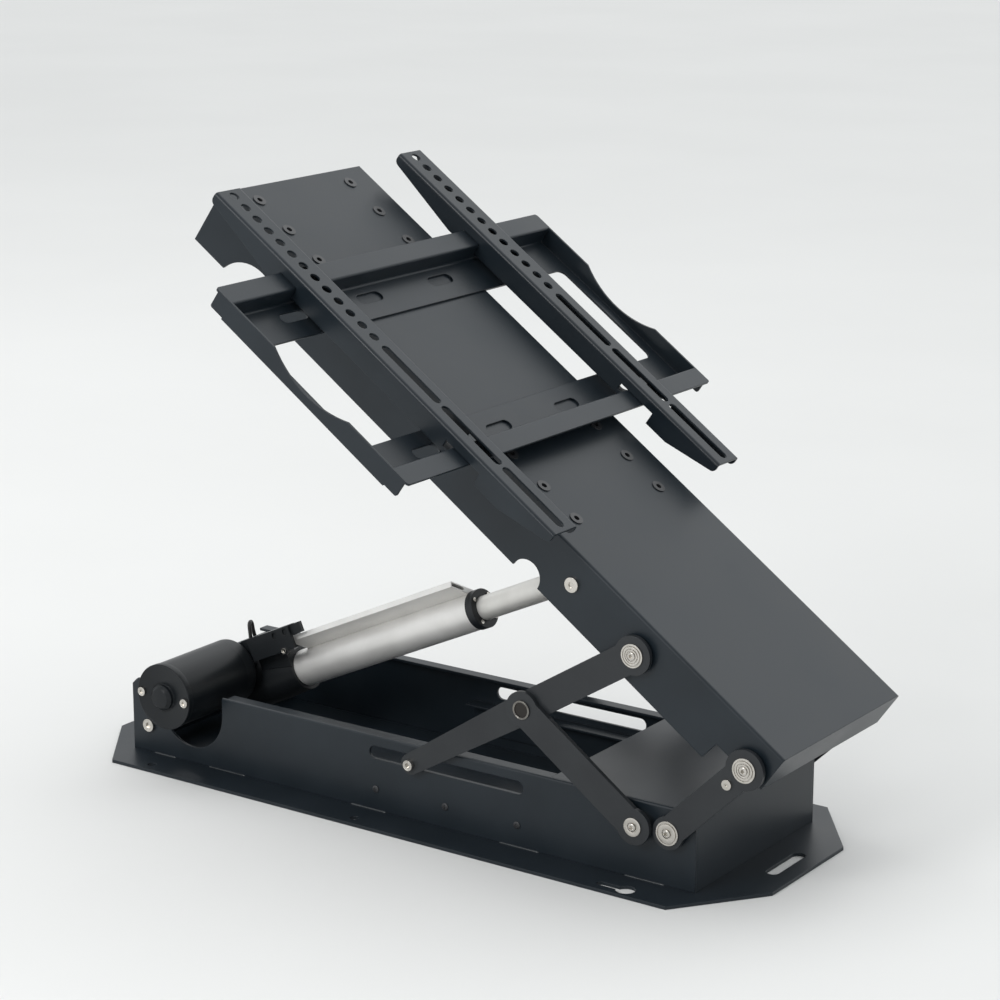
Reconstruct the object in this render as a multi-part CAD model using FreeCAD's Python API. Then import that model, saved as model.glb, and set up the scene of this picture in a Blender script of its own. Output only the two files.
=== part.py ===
import FreeCAD, Part
import math
import os

os.makedirs("parts", exist_ok=True)

# Motorised flip-up screen mount. Millimetres, +Z up, +X towards the cranks, +Y away
# from the motor. The origin is under the middle of the base trough, on the floor.
# "Near" is the -Y side, where the motor sticks out, and "far" is the +Y side.

# Base trough
plate_length = 720.0
plate_width = 275.0
plate_thick = 3.0
plate_chamfer_x = 57.0
plate_chamfer_y = 76.0
base_length = 617.0
base_width = 200.0
wall_height = 70.0
base_sheet = 2.5
wall_lip = 13.0
wall_lip_start = 114.0
deck_length = 145.0
bend_radius = 2.2
foot_hole_r = 4.0
foot_hole_edge = 11.5
foot_hole_first = 44.7
foot_hole_pitch = 237.6
keyhole_narrow_r = 3.5
keyhole_wide_r = 8.5
keyhole_start = 541.3
keyhole_length = 24.7
end_slot_length = 56.0
end_slot_r = 6.0
end_slot_edge = 22.0

# Slots and guides of the sliding pins
slot_start = 285.8
slot_end = 439.0
slot_half_height = 6.0
guide_start = 254.0
guide_end = 460.0
guide_low = 11.0
guide_height = 31.0
guide_width = 15.0
guide_sheet = 2.0
guide_screw_start = 286.6
guide_screw_pitch = 76.05
guide_screw_count = 3
guide_screw_z = 20.0
guide_screw_r = 1.9
guide_screw_head_r = 3.4
guide_screw_head = 1.2

# Linkage, measured from the rear bottom corner of the trough
slot_pin_z = 54.3
strut_foot_x = 562.8
strut_foot_z = 50.0
crank_foot_x = 593.8
crank_foot_z = 49.8
lift_lower_length = 142.8
lift_upper_length = 125.4
strut_length = 137.5
crank_length = 99.4
rest_lift_angle = 32.0

# Flat links: half widths, end radii and thickness
link_thick = 4.0
link_wall_gap = 3.0
link_gap = 0.5
lift_slot_end_r = 9.5
lift_half_width = 13.5
lift_top_end_r = 17.0
strut_end_r = 16.0
strut_half_width = 14.0
crank_foot_end_r = 14.5
crank_half_width = 12.5
crank_head_end_r = 17.5

# Pivot bolts, spacers and nuts
pivot_r = 6.0
pivot_clearance = 0.1
side_play = 0.1
spacer_r = 10.0
bolt_washer = 1.2
bolt_button_r = 6.5
bolt_button = 1.4
socket_r = 2.6
socket_depth = 1.0
lift_bolt_head_r = 10.3
crank_bolt_head_r = 10.6
strut_bolt_head_r = 8.2
pivot_nut_r = 9.5
pivot_nut = 6.0
bolt_tail = 1.5
ring_r = 7.6
ring_flange_r = 8.4
ring_flange = 1.4
ring_bore_r = 6.6
centre_pin_recess = 0.8
slot_pin_r = 4.0
slot_pin_head_r = 4.8
slot_pin_head = 4.2
slot_pin_spacer_r = 7.0
slot_pin_washer_r = 8.0
slot_pin_washer = 1.6
set_screw_offset = 21.3
set_screw_r = 2.5
set_screw_head_r = 4.4
set_screw_head = 2.0
open_pivot_gap = 0.4

# Boom channel, measured up the boom from its lower end and inwards from its face
boom_length = 703.0
boom_depth = 54.0
boom_sheet = 2.5
boom_toe_length = 52.0
boom_toe_slope = 3.0
boom_toe_depth = 35.0
boom_edge_radius = 3.0
boom_crank_pivot = 19.0
boom_crank_depth = 29.25
boom_lift_pivot = 151.0
boom_lift_depth = 28.4
rod_pivot = 230.7
rod_pivot_depth = 25.7
edge_notch_at = 269.0
edge_notch_r = 15.0
motor_notch_at = 627.5
motor_notch_depth = 67.0
motor_notch_r = 38.5
rivnut_rows = (273.2, 604.5)
rivnut_pitch = 40.25
rivnut_count = 3
rivnut_side = 65.0
rivnut_r = 4.6
rivnut_flange_r = 6.2
rivnut_flange = 1.0
rivnut_length = 12.0
rivnut_bore_r = 2.6
axle_r = 6.0
axle_head_r = 6.5
axle_head = 2.4
axle_spacer_r = 9.0
axle_middle_gap = 28.0

# Screen frame on the boom face
frame_sheet = 2.0
frame_start = 365.0
frame_end = 567.0
frame_width = 466.0
frame_rail_height = 18.5
frame_flange = 18.5
frame_window_start = 403.0
frame_window_end = 526.5
frame_window_width = 440.0
frame_window_r = 8.0
frame_dip_length = 92.0
frame_dip = 11.0
frame_bend_r = 2.0
frame_slot_length = 33.0
frame_slot_r = 5.6
frame_slot_inset = 17.0
frame_slot_sides = (52.0, 157.0)
frame_corner_r = 3.0
frame_end_setback = 3.6
frame_end_low = 1.5
frame_end_corner_r = 2.0

# Screen rails
rail_length = 427.0
rail_width = 34.0
rail_sheet = 2.0
rail_side = 133.0
rail_middle = 464.3
rail_stagger = 5.0
rail_seat_gap = 0.3
rail_face_height = 29.0
rail_wing_height = 7.0
rail_tab_height = 8.0
rail_end_height = 19.4
rail_lower_taper = 53.5
rail_upper_taper = 83.0
rail_corner_r = 5.0
rail_bend_r = 3.0
rail_bend_inner_r = 1.0
rail_hook_reach = 12.3
rail_hook_gap = 0.5
rail_hole_r = 4.6
rail_hole_first = 8.0
rail_hole_pitch = 15.16
rail_hole_count = 13
rail_slot_first = 205.9
rail_slot_length = 62.4
rail_slot_pitch = 75.0
rail_slot_count = 3
rail_slot_r = 4.5
rail_relief_length = 7.7
rail_relief_low = 12.5

# Actuator, measured along its screw from the rear pivot
rear_pivot_x = 20.2
rear_pivot_z = 26.6
rear_pivot_r = 5.0
rear_pivot_head_r = 6.2
rear_pivot_head = 3.0
rear_spacer_r = 8.0
rear_eye_r = 13.0
rear_eye_width = 20.0
eye_play = 0.4
gear_start = 34.0
gear_split = 42.0
gear_end = 84.0
gear_r = 23.0
gear_cavity_r = 18.0
gear_cavity_end = 82.0
sleeve_end = 120.5
sleeve_end_r = 20.8
sleeve_seat = 95.0
tube_r = 17.5
tube_wall = 2.0
tube_end = 338.0
tube_fit = 0.05
channel_start = 134.0
channel_angle = 60.0
channel_length = 36.0
channel_thick = 5.5
channel_wall = 1.3
channel_pocket_start = 19.0
end_ring_length = 8.0
end_ring_r = 18.2
rod_r = 11.2
rod_bore_r = 6.5
rod_clearance = 0.1
ring_screw_r = 2.0
ring_screw_pitch_r = 14.8
ring_screw_head = 1.0
ring_screw_count = 4
screw_r = 5.0
screw_start = 44.0
screw_end = 400.0
nut_start = 211.0
nut_length = 25.0
nut_r = 15.2
rod_eye_r = 13.0
rod_eye_width = 24.0
rod_eye_stem = 20.0
rod_eye_pin_proud = 0.5
wheel_r = 15.0
wheel_tooth = 1.8
wheel_teeth = 30
wheel_width = 16.0
bearing_r = 13.0
bearing_start = 72.0
bearing_width = 8.0
inner_play = 1.0

# Motor, its shaft lying across the screw
motor_at = 59.4
motor_height = 21.5
motor_r = 30.5
motor_wall = 2.0
motor_front = 124.0
motor_back = 45.5
motor_flange = 14.0
motor_flange_round = 4.0
tunnel_r = 15.0
tunnel_bore_r = 8.0
tunnel_end = 22.0
cap_r = 31.0
cap_thick = 6.0
cap_boss_r = 12.0
cap_boss = 6.0
cap_boss_chamfer = 1.5
cap_screw_side = 25.5
cap_screw_turn = -26.9
cap_screw_r = 4.2
cap_screw_head = 2.0
magnet_r = 28.4
magnet_thick = 5.0
magnet_start = 112.0
magnet_end = 56.0
armature_r = 22.0
armature_start = 108.0
armature_end = 60.0
shaft_r = 4.0
shaft_front = 128.0
shaft_end = 15.0
worm_r = 6.0
worm_half_length = 12.0

# Switch housing beside the sleeve, and its lead
switch_face = 33.0
switch_cover = 3.4
switch_inner = 8.0
switch_start = 80.0
switch_cover_start = 90.0
switch_block_end = 131.0
switch_bottom = 22.0
switch_top = 44.0
switch_cover_end = 144.6
switch_tab = 4.0
switch_tab_end = 156.6
switch_tab_low = 34.0
switch_foot = 20.0
switch_holes = ((125.2, 38.7), (139.2, 39.1))
switch_hole_r = 3.2
switch_screw_at = 130.7
switch_screw_height = 22.7
switch_lug_r = 4.2
switch_screw_r = 2.8
switch_screw_head = 1.2
lead_r = 1.8
lead_rise = 10.5
lead_bend_r = 4.0
lead_turn = 110.0
lead_lean = 25.0
lead_at = 86.0
lead_side = 22.0
lead_root = 4.0

# Motor clearance in the near wall of the trough
motor_well_x = 72.8
motor_well_z = 51.8
motor_well_r = 36.5
motor_well_left = 25.5
motor_well_corner = 6.0


def vec(x, y, z):
    return FreeCAD.Vector(x, y, z)


def box(x0, x1, y0, y1, z0, z1):
    """Block between two corners."""
    return Part.makeBox(x1 - x0, y1 - y0, z1 - z0, vec(x0, y0, z0))


def bar_y(p, y0, y1, r):
    """Round bar along Y through p = (x, z), its ends given in either order."""
    return Part.makeCylinder(r, abs(y1 - y0), vec(p[0], min(y0, y1), p[1]), vec(0, 1, 0))


def bar_x(x0, x1, r):
    """Round bar along X on the local axis."""
    return Part.makeCylinder(r, x1 - x0, vec(x0, 0, 0), vec(1, 0, 0))


def bar_z(x, y, z0, z1, r):
    return Part.makeCylinder(r, z1 - z0, vec(x, y, z0), vec(0, 0, 1))


def plate_xz(points, y0, y1):
    """Flat plate with an outline of (x, z) points, between two places along Y."""
    low = min(y0, y1)
    corners = [vec(x, low, z) for x, z in points]
    face = Part.Face(Part.makePolygon(corners + corners[:1]))
    return face.extrude(vec(0, abs(y1 - y0), 0))


def plate_xy(points, z0, z1):
    """Flat plate with an outline of (x, y) points, between two heights."""
    corners = [vec(x, y, z0) for x, y in points]
    face = Part.Face(Part.makePolygon(corners + corners[:1]))
    return face.extrude(vec(0, 0, z1 - z0))


def plate_yz(points, x0, x1):
    """Profile with an outline of (y, z) points, run along X."""
    corners = [vec(x0, y, z) for y, z in points]
    face = Part.Face(Part.makePolygon(corners + corners[:1]))
    return face.extrude(vec(x1 - x0, 0, 0))


def fused(shapes):
    whole = shapes[0].multiFuse(shapes[1:]) if len(shapes) > 1 else shapes[0]
    return whole.removeSplitter()


def tangent_points(a, ra, b, rb):
    """Corners of the strip that touches two circles on both sides."""
    length = math.hypot(b[0] - a[0], b[1] - a[1])
    along = ((b[0] - a[0]) / length, (b[1] - a[1]) / length)
    sine = (ra - rb) / length
    cosine = math.sqrt(1 - sine * sine)
    corners = []
    for centre, r, side in ((a, ra, 1), (b, rb, 1), (b, rb, -1), (a, ra, -1)):
        across = (-along[1] * side, along[0] * side)
        corners.append((centre[0] + r * (sine * along[0] + cosine * across[0]),
                        centre[1] + r * (sine * along[1] + cosine * across[1])))
    return corners


def link_bar(a, ra, b, rb, y0, y1):
    """Flat bar in the XZ plane with a round end about each point."""
    strip = plate_xz(tangent_points(a, ra, b, rb), y0, y1)
    return fused([strip, bar_y(a, y0, y1, ra), bar_y(b, y0, y1, rb)])


def slot_z(a, b, r, z0, z1):
    """Upright slot cutter between two (x, y) points."""
    strip = plate_xy(tangent_points(a, r, b, r), z0, z1)
    return fused([strip, bar_z(a[0], a[1], z0, z1, r), bar_z(b[0], b[1], z0, z1, r)])


def hex_nut(p, y0, y1, r):
    """Hexagon nut along Y, r across its corners."""
    points = []
    for i in range(6):
        turn = math.radians(60 * i)
        points.append((p[0] + r * math.cos(turn), p[1] + r * math.sin(turn)))
    return plate_xz(points, y0, y1)


def tilted(shape, degrees, p):
    """Copy of a shape turned about Y and moved to p = (x, z)."""
    copy = shape.copy()
    copy.rotate(vec(0, 0, 0), vec(0, 1, 0), degrees)
    copy.translate(vec(p[0], 0, p[1]))
    return copy


def rounded(shape, r, chosen):
    """Shape with the edges that a test picks rounded."""
    edges = [edge for edge in shape.Edges if chosen(edge)]
    return shape.makeFillet(r, edges)


def from_corner(x, z):
    """Point given from the rear bottom corner of the trough, on top of the plate."""
    return (x - base_length / 2, z + plate_thick)


def out_y(side, out):
    """Y of a place that is `out` beyond the wall's outer face, on one side."""
    return side * (base_width / 2 + out)


def disc(p, side, out0, out1, r):
    return bar_y(p, out_y(side, out0), out_y(side, out1), r)


def both_sides(make):
    """One solid for each side of the mount, as a group."""
    return Part.makeCompound([make(-1), make(1)])


def save(name, shape):
    shape.exportStep("parts/" + name + ".step")
    solids = shape.Solids
    print(name, len(solids), "solids", round(sum(s.Volume for s in solids)), shape.isValid())


# The linkage is closed at rest from the lift link's angle: the slot pin's height gives
# the centre pivot, the crank and the boom then meet where their circles cross.
half_length = base_length / 2
strut_foot = from_corner(strut_foot_x, strut_foot_z)
crank_foot = from_corner(crank_foot_x, crank_foot_z)
rear_pivot = from_corner(rear_pivot_x, rear_pivot_z)
lift_angle = math.radians(rest_lift_angle)
lift_way = (math.cos(lift_angle), math.sin(lift_angle))
centre_z = plate_thick + slot_pin_z + lift_lower_length * lift_way[1]
centre_x = strut_foot[0] - math.sqrt(strut_length ** 2 - (centre_z - strut_foot[1]) ** 2)
centre_pivot = (centre_x, centre_z)
slot_pin = (centre_x - lift_lower_length * lift_way[0], plate_thick + slot_pin_z)
lift_top = (centre_x + lift_upper_length * lift_way[0],
            centre_z + lift_upper_length * lift_way[1])
boom_link_rise = boom_crank_depth - boom_lift_depth
boom_link_span = math.hypot(boom_lift_pivot - boom_crank_pivot, boom_link_rise)
foot_run = (crank_foot[0] - lift_top[0], crank_foot[1] - lift_top[1])
foot_span = math.hypot(foot_run[0], foot_run[1])
foot_way = (foot_run[0] / foot_span, foot_run[1] / foot_span)
cross_at = (boom_link_span ** 2 - crank_length ** 2 + foot_span ** 2) / (2 * foot_span)
cross_off = math.sqrt(boom_link_span ** 2 - cross_at ** 2)
crank_head = (lift_top[0] + cross_at * foot_way[0] - cross_off * foot_way[1],
              lift_top[1] + cross_at * foot_way[1] + cross_off * foot_way[0])
boom_angle = math.atan2(lift_top[1] - crank_head[1], crank_head[0] - lift_top[0])
boom_angle -= math.asin(boom_link_rise / boom_link_span)


def on_boom(up, depth):
    """World (x, z) of a point up the boom from its lower end, `depth` inside its face."""
    reach = up - boom_crank_pivot
    sink = depth - boom_crank_depth
    return (crank_head[0] - reach * math.cos(boom_angle) - sink * math.sin(boom_angle),
            crank_head[1] + reach * math.sin(boom_angle) - sink * math.cos(boom_angle))


boom_corner = on_boom(0, 0)
rod_axle = on_boom(rod_pivot, rod_pivot_depth)
actuator_run = (rod_axle[0] - rear_pivot[0], rod_axle[1] - rear_pivot[1])
actuator_length = math.hypot(actuator_run[0], actuator_run[1])
actuator_angle = math.atan2(actuator_run[1], actuator_run[0])


def place_boom(shape):
    """Boom pieces are drawn along -X from the lower end, with the face on top."""
    return tilted(shape, math.degrees(boom_angle), boom_corner)


def place_actuator(shape):
    """Actuator pieces are drawn along +X from the rear pivot."""
    return tilted(shape, -math.degrees(actuator_angle), rear_pivot)


# Layers outside the walls: lift link and crank first, the strut over them
inner_start = link_wall_gap
inner_end = inner_start + link_thick
outer_start = inner_end + link_gap
outer_end = outer_start + link_thick
shank_hole_r = pivot_r + pivot_clearance
wall_top = plate_thick + wall_height


def washer_bolt(p, side, out0, tail_out, head_r):
    """Pivot bolt: shank, broad washer and a button head with a socket."""
    washer_out = out0 + bolt_washer
    top_out = washer_out + bolt_button
    shank = disc(p, side, tail_out, out0, pivot_r)
    washer = disc(p, side, out0, washer_out, head_r)
    button = disc(p, side, washer_out, top_out, bolt_button_r)
    socket = disc(p, side, top_out - socket_depth, top_out, socket_r)
    return fused([shank, washer, button]).cut(socket)


def spacer(p, side, out0, out1, r, bore_r):
    return disc(p, side, out0, out1, r).cut(disc(p, side, out0, out1, bore_r))


def make_base_plate():
    x = plate_length / 2
    y = plate_width / 2
    cx = x - plate_chamfer_x
    cy = y - plate_chamfer_y
    outline = [(x, -cy), (x, cy), (cx, y), (-cx, y), (-x, cy), (-x, -cy), (-cx, -y), (cx, -y)]
    plate = plate_xy(outline, 0, plate_thick)
    cuts = []
    hole_y = y - foot_hole_edge
    key_x = keyhole_start - half_length
    for side in (-1, 1):
        for i in range(2):
            hole_x = foot_hole_first + i * foot_hole_pitch - half_length
            cuts.append(bar_z(hole_x, side * hole_y, 0, plate_thick, foot_hole_r))
        narrow = (key_x, side * hole_y)
        wide = (key_x + keyhole_length, side * hole_y)
        cuts.append(slot_z(narrow, wide, keyhole_narrow_r, 0, plate_thick))
        cuts.append(bar_z(wide[0], wide[1], 0, plate_thick, keyhole_wide_r))
        slot_x = side * (x - end_slot_edge)
        reach = end_slot_length / 2 - end_slot_r
        cuts.append(slot_z((slot_x, -reach), (slot_x, reach), end_slot_r, 0, plate_thick))
    return plate.cut(fused(cuts))


def make_side_plate(side):
    """Side of the trough with its lip, slot and pivot holes."""
    y0 = out_y(side, 0)
    y1 = out_y(side, -base_sheet)
    corner = motor_well_corner if side < 0 else base_sheet
    left = -half_length
    outline = [(left, plate_thick), (half_length, plate_thick), (half_length, wall_top),
               (left + corner, wall_top), (left, wall_top - corner)]
    wall = plate_xz(outline, y0, y1)
    lip_x0 = wall_lip_start - half_length if side < 0 else left
    lip_x1 = half_length - deck_length
    lip_y = sorted((out_y(side, -wall_lip), y0))
    lip = box(lip_x0, lip_x1, lip_y[0], lip_y[1], wall_top - base_sheet, wall_top)
    sheet = fused([wall, lip])
    sheet = rounded(sheet, bend_radius, lambda e: (
        abs(e.BoundBox.ZMin - wall_top) < 0.01 and abs(e.BoundBox.ZMax - wall_top) < 0.01
        and abs(e.BoundBox.YMin - y0) < 0.01 and abs(e.BoundBox.YMax - y0) < 0.01))
    slot_a = from_corner(slot_start, slot_pin_z)
    slot_b = from_corner(slot_end, slot_pin_z)
    cuts = [link_bar(slot_a, slot_half_height, slot_b, slot_half_height, y0, y1)]
    for p in (strut_foot, crank_foot):
        cuts.append(bar_y(p, y0, y1, pivot_r))
    cuts.append(bar_y(rear_pivot, y0, y1, rear_pivot_r))
    for i in range(guide_screw_count):
        p = from_corner(guide_screw_start + i * guide_screw_pitch, guide_screw_z)
        cuts.append(bar_y(p, y0, y1, guide_screw_r))
    if side < 0:
        well = from_corner(motor_well_x, motor_well_z)
        well_left = motor_well_left - half_length
        cuts.append(bar_y(well, y0, y1, motor_well_r))
        cuts.append(box(well_left, well[0] + motor_well_r, y0, y1, well[1], wall_top))
    return sheet.cut(fused(cuts))


def make_end_plate(end):
    """Upright plate that closes one end of the trough, the rear one a little lower."""
    x = sorted((end * half_length, end * (half_length - base_sheet)))
    y = base_width / 2 - base_sheet
    top = wall_top - (base_sheet if end > 0 else motor_well_corner)
    return box(x[0], x[1], -y, y, plate_thick, top)


def make_deck():
    y = base_width / 2 - base_sheet
    x0 = half_length - deck_length
    return box(x0, half_length, -y, y, wall_top - base_sheet, wall_top)


def make_guide(side):
    """Angle inside the wall whose ledge lies under the sliding pin."""
    x0 = guide_start - half_length
    x1 = guide_end - half_length
    z0 = plate_thick + guide_low
    z1 = z0 + guide_height
    wall = out_y(side, -base_sheet)
    leg = sorted((wall, wall - side * guide_sheet))
    ledge = sorted((wall, wall - side * guide_width))
    upright = box(x0, x1, leg[0], leg[1], z0, z1)
    flat = box(x0, x1, ledge[0], ledge[1], z1 - guide_sheet, z1)
    angle = fused([upright, flat])
    holes = []
    for i in range(guide_screw_count):
        p = from_corner(guide_screw_start + i * guide_screw_pitch, guide_screw_z)
        holes.append(bar_y(p, leg[0], leg[1], guide_screw_r))
    return angle.cut(fused(holes))


def make_guide_screws():
    screws = []
    for side in (-1, 1):
        for i in range(guide_screw_count):
            p = from_corner(guide_screw_start + i * guide_screw_pitch, guide_screw_z)
            shank = disc(p, side, -base_sheet - guide_sheet - bolt_tail, 0, guide_screw_r)
            head = disc(p, side, 0, guide_screw_head, guide_screw_head_r)
            cross = disc(p, side, guide_screw_head / 2, guide_screw_head, guide_screw_head_r / 3)
            screws.append(fused([shank, head]).cut(cross))
    return Part.makeCompound(screws)


def make_rear_pivot_pin():
    y = base_width / 2
    shaft = bar_y(rear_pivot, -y, y, rear_pivot_r)
    heads = [disc(rear_pivot, side, 0, rear_pivot_head, rear_pivot_head_r) for side in (-1, 1)]
    sockets = [disc(rear_pivot, side, rear_pivot_head - socket_depth, rear_pivot_head, socket_r)
               for side in (-1, 1)]
    return fused([shaft] + heads).cut(fused(sockets))


def make_rear_spacer(side):
    y0 = side * (rear_eye_width / 2 + eye_play)
    y1 = out_y(side, -base_sheet)
    tube = bar_y(rear_pivot, y0, y1, rear_spacer_r)
    return tube.cut(bar_y(rear_pivot, y0, y1, rear_pivot_r))


def make_pivot_nuts(points, side_in):
    """Hexagon nuts inside a wall whose sheet is `side_in` thick."""
    nuts = []
    for side in (-1, 1):
        for p in points:
            y0 = out_y(side, -side_in)
            y1 = out_y(side, -side_in - pivot_nut)
            nuts.append(hex_nut(p, y0, y1, pivot_nut_r).cut(bar_y(p, y0, y1, pivot_r)))
    return Part.makeCompound(nuts)


def make_lift_link(side):
    """Long link from the slot pin through the centre pivot to the boom."""
    y0 = out_y(side, inner_start)
    y1 = out_y(side, inner_end)
    lower = link_bar(slot_pin, lift_slot_end_r, centre_pivot, lift_half_width, y0, y1)
    upper = link_bar(centre_pivot, lift_half_width, lift_top, lift_half_width, y0, y1)
    link = fused([lower, upper, bar_y(lift_top, y0, y1, lift_top_end_r)])
    holes = [bar_y(slot_pin, y0, y1, slot_pin_r),
             bar_y(centre_pivot, y0, y1, ring_r + pivot_clearance),
             bar_y(lift_top, y0, y1, shank_hole_r)]
    return link.cut(fused(holes))


def make_strut_link(side):
    """Outer link from its foot on the trough to the centre pivot."""
    y0 = out_y(side, outer_start)
    y1 = out_y(side, outer_end)
    strip = link_bar(strut_foot, strut_half_width, centre_pivot, strut_half_width, y0, y1)
    ends = [bar_y(p, y0, y1, strut_end_r) for p in (strut_foot, centre_pivot)]
    holes = [bar_y(strut_foot, y0, y1, shank_hole_r), bar_y(centre_pivot, y0, y1, ring_r)]
    return fused([strip] + ends).cut(fused(holes))


def make_crank(side):
    """Short link from the trough to the lower end of the boom."""
    y0 = out_y(side, inner_start)
    y1 = out_y(side, inner_end)
    strip = link_bar(crank_foot, crank_half_width, crank_head, crank_half_width, y0, y1)
    ends = [bar_y(crank_foot, y0, y1, crank_foot_end_r),
            bar_y(crank_head, y0, y1, crank_head_end_r)]
    holes = [bar_y(crank_foot, y0, y1, shank_hole_r), bar_y(crank_head, y0, y1, pivot_r),
             bar_y(set_screw_point(), y0, y1, set_screw_r)]
    return fused([strip] + ends).cut(fused(holes))


def set_screw_point():
    share = set_screw_offset / crank_length
    return (crank_head[0] + share * (crank_foot[0] - crank_head[0]),
            crank_head[1] + share * (crank_foot[1] - crank_head[1]))


def make_centre_ring(side):
    """Flanged ring on which the lift link turns, fixed in the strut."""
    inner = inner_start - side_play
    body = disc(centre_pivot, side, inner, outer_end, ring_r)
    outer_flange = disc(centre_pivot, side, outer_end, outer_end + ring_flange, ring_flange_r)
    inner_flange = disc(centre_pivot, side, inner - ring_flange, inner, ring_flange_r)
    bore = disc(centre_pivot, side, inner - ring_flange, outer_end + ring_flange, ring_bore_r)
    return fused([body, outer_flange, inner_flange]).cut(bore)


def make_centre_pin(side):
    """Bronze plug pressed into the ring, slightly sunk."""
    inner = inner_start - side_play - ring_flange + centre_pin_recess
    outer = outer_end + ring_flange - centre_pin_recess
    return disc(centre_pivot, side, inner, outer, ring_bore_r)


def make_slot_pin(side):
    tail = -base_sheet - side_play - slot_pin_washer - bolt_tail
    shank = disc(slot_pin, side, tail, inner_end, slot_pin_r)
    head = disc(slot_pin, side, inner_end, inner_end + slot_pin_head, slot_pin_head_r)
    top = inner_end + slot_pin_head
    socket = disc(slot_pin, side, top - socket_depth, top, socket_r)
    return fused([shank, head]).cut(socket)


def make_slot_washers():
    """Washers on the slot pin, one outside and one inside the wall."""
    washers = []
    for side in (-1, 1):
        gap = open_pivot_gap
        inner = -base_sheet - gap
        washers.append(spacer(slot_pin, side, gap, inner_start, slot_pin_spacer_r, slot_pin_r))
        washers.append(spacer(slot_pin, side, inner - slot_pin_washer, inner,
                              slot_pin_washer_r, slot_pin_r))
    return Part.makeCompound(washers)


def make_set_screw(side):
    p = set_screw_point()
    shank = disc(p, side, inner_start, inner_end, set_screw_r)
    head = disc(p, side, inner_end, inner_end + set_screw_head, set_screw_head_r)
    top = inner_end + set_screw_head
    socket = disc(p, side, top - socket_depth, top, set_screw_r / 2)
    return fused([shank, head]).cut(socket)


def make_boom_channel():
    """Pressed channel, open underneath, drawn along -X with its face at Z = 0."""
    y = base_width / 2
    toe_end = boom_toe_length + boom_toe_slope
    outline = [(0, 0), (-boom_length, 0), (-boom_length, -boom_depth), (-toe_end, -boom_depth),
               (-boom_toe_length, -boom_toe_depth), (0, -boom_toe_depth)]
    block = plate_xz(outline, -y, y)
    block = rounded(block, boom_edge_radius, lambda e: (
        abs(e.BoundBox.ZMin) < 0.01 and abs(e.BoundBox.ZMax) < 0.01
        and e.BoundBox.XLength > boom_length / 2))
    inside = box(-boom_length, -boom_sheet, -y + boom_sheet, y - boom_sheet,
                 -2 * boom_depth, -boom_sheet)
    cuts = [inside]
    cuts.append(bar_y((-edge_notch_at, -boom_depth), -y, y, edge_notch_r))
    cuts.append(bar_y((-motor_notch_at, -motor_notch_depth), -y, y, motor_notch_r))
    cuts.append(bar_y((-boom_lift_pivot, -boom_lift_depth), -y, y, pivot_r))
    cuts.append(bar_y((-rod_pivot, -rod_pivot_depth), -y, y, axle_r))
    for place in rivnut_places():
        cuts.append(bar_z(place[0], place[1], -boom_sheet, 0, rivnut_r))
    return block.cut(fused(cuts))


def rivnut_places():
    places = []
    for start in rivnut_rows:
        for i in range(rivnut_count):
            for side in (-1, 1):
                places.append((-(start + i * rivnut_pitch), side * rivnut_side))
    return places


def make_rivnuts():
    nuts = []
    for x, y in rivnut_places():
        body = bar_z(x, y, -rivnut_length, 0, rivnut_r)
        flange = bar_z(x, y, 0, rivnut_flange, rivnut_flange_r)
        bore = bar_z(x, y, -rivnut_length, rivnut_flange, rivnut_bore_r)
        nuts.append(fused([body, flange]).cut(bore))
    return Part.makeCompound(nuts)


def make_axle_half(side):
    """Half of the cross axle that the actuator rod pushes on."""
    p = rod_axle
    shaft = bar_y(p, out_y(side, 0), side * axle_middle_gap / 2, axle_r)
    head = disc(p, side, 0, axle_head, axle_head_r)
    socket = disc(p, side, axle_head - socket_depth, axle_head, socket_r)
    return fused([shaft, head]).cut(socket)


def make_axle_spacer(side):
    y0 = out_y(side, -boom_sheet)
    y1 = side * axle_middle_gap / 2
    return bar_y(rod_axle, y0, y1, axle_spacer_r).cut(bar_y(rod_axle, y0, y1, axle_r))


def make_screen_frame():
    """Pressed frame with two flanged long sides and a dipped plate at each end."""
    y = frame_width / 2
    t = frame_sheet
    top = frame_rail_height
    lower = -frame_start
    upper = -frame_end
    web = box(upper, lower, -y, y, 0, t)
    upper_flange = rounded(box(upper - frame_flange, upper, -y, y, top - t, top),
                           frame_corner_r, lambda e: (
        e.BoundBox.ZLength > t / 2 and e.BoundBox.XMax < upper - t))
    lower_flange = rounded(box(lower, lower + frame_flange, -y, y, top - t, top),
                           frame_corner_r, lambda e: (
        e.BoundBox.ZLength > t / 2 and e.BoundBox.XMin > lower + t))
    walls = [box(upper, upper + t, -y, y, 0, top), box(lower - t, lower, -y, y, 0, top),
             upper_flange, lower_flange]
    ends = [make_frame_end(side) for side in (-1, 1)]
    frame = fused([web] + walls + ends)
    frame = rounded(frame, frame_bend_r, lambda e: (
        e.BoundBox.YLength > y and e.BoundBox.XMin > upper and e.BoundBox.XMax < lower
        and e.BoundBox.ZLength < t / 2))
    window_y = frame_window_width / 2
    window = box(-frame_window_end, -frame_window_start, -window_y, window_y, 0, t)
    window = rounded(window, frame_window_r, lambda e: e.BoundBox.ZLength > t / 2)
    cuts = [window]
    reach = frame_slot_length / 2 - frame_slot_r
    for row in (lower - frame_slot_inset, upper + frame_slot_inset):
        for offset in frame_slot_sides:
            for side in (-1, 1):
                middle = side * offset
                cuts.append(slot_z((row, middle - reach), (row, middle + reach),
                                   frame_slot_r, 0, t))
    return frame.cut(fused(cuts))


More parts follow.
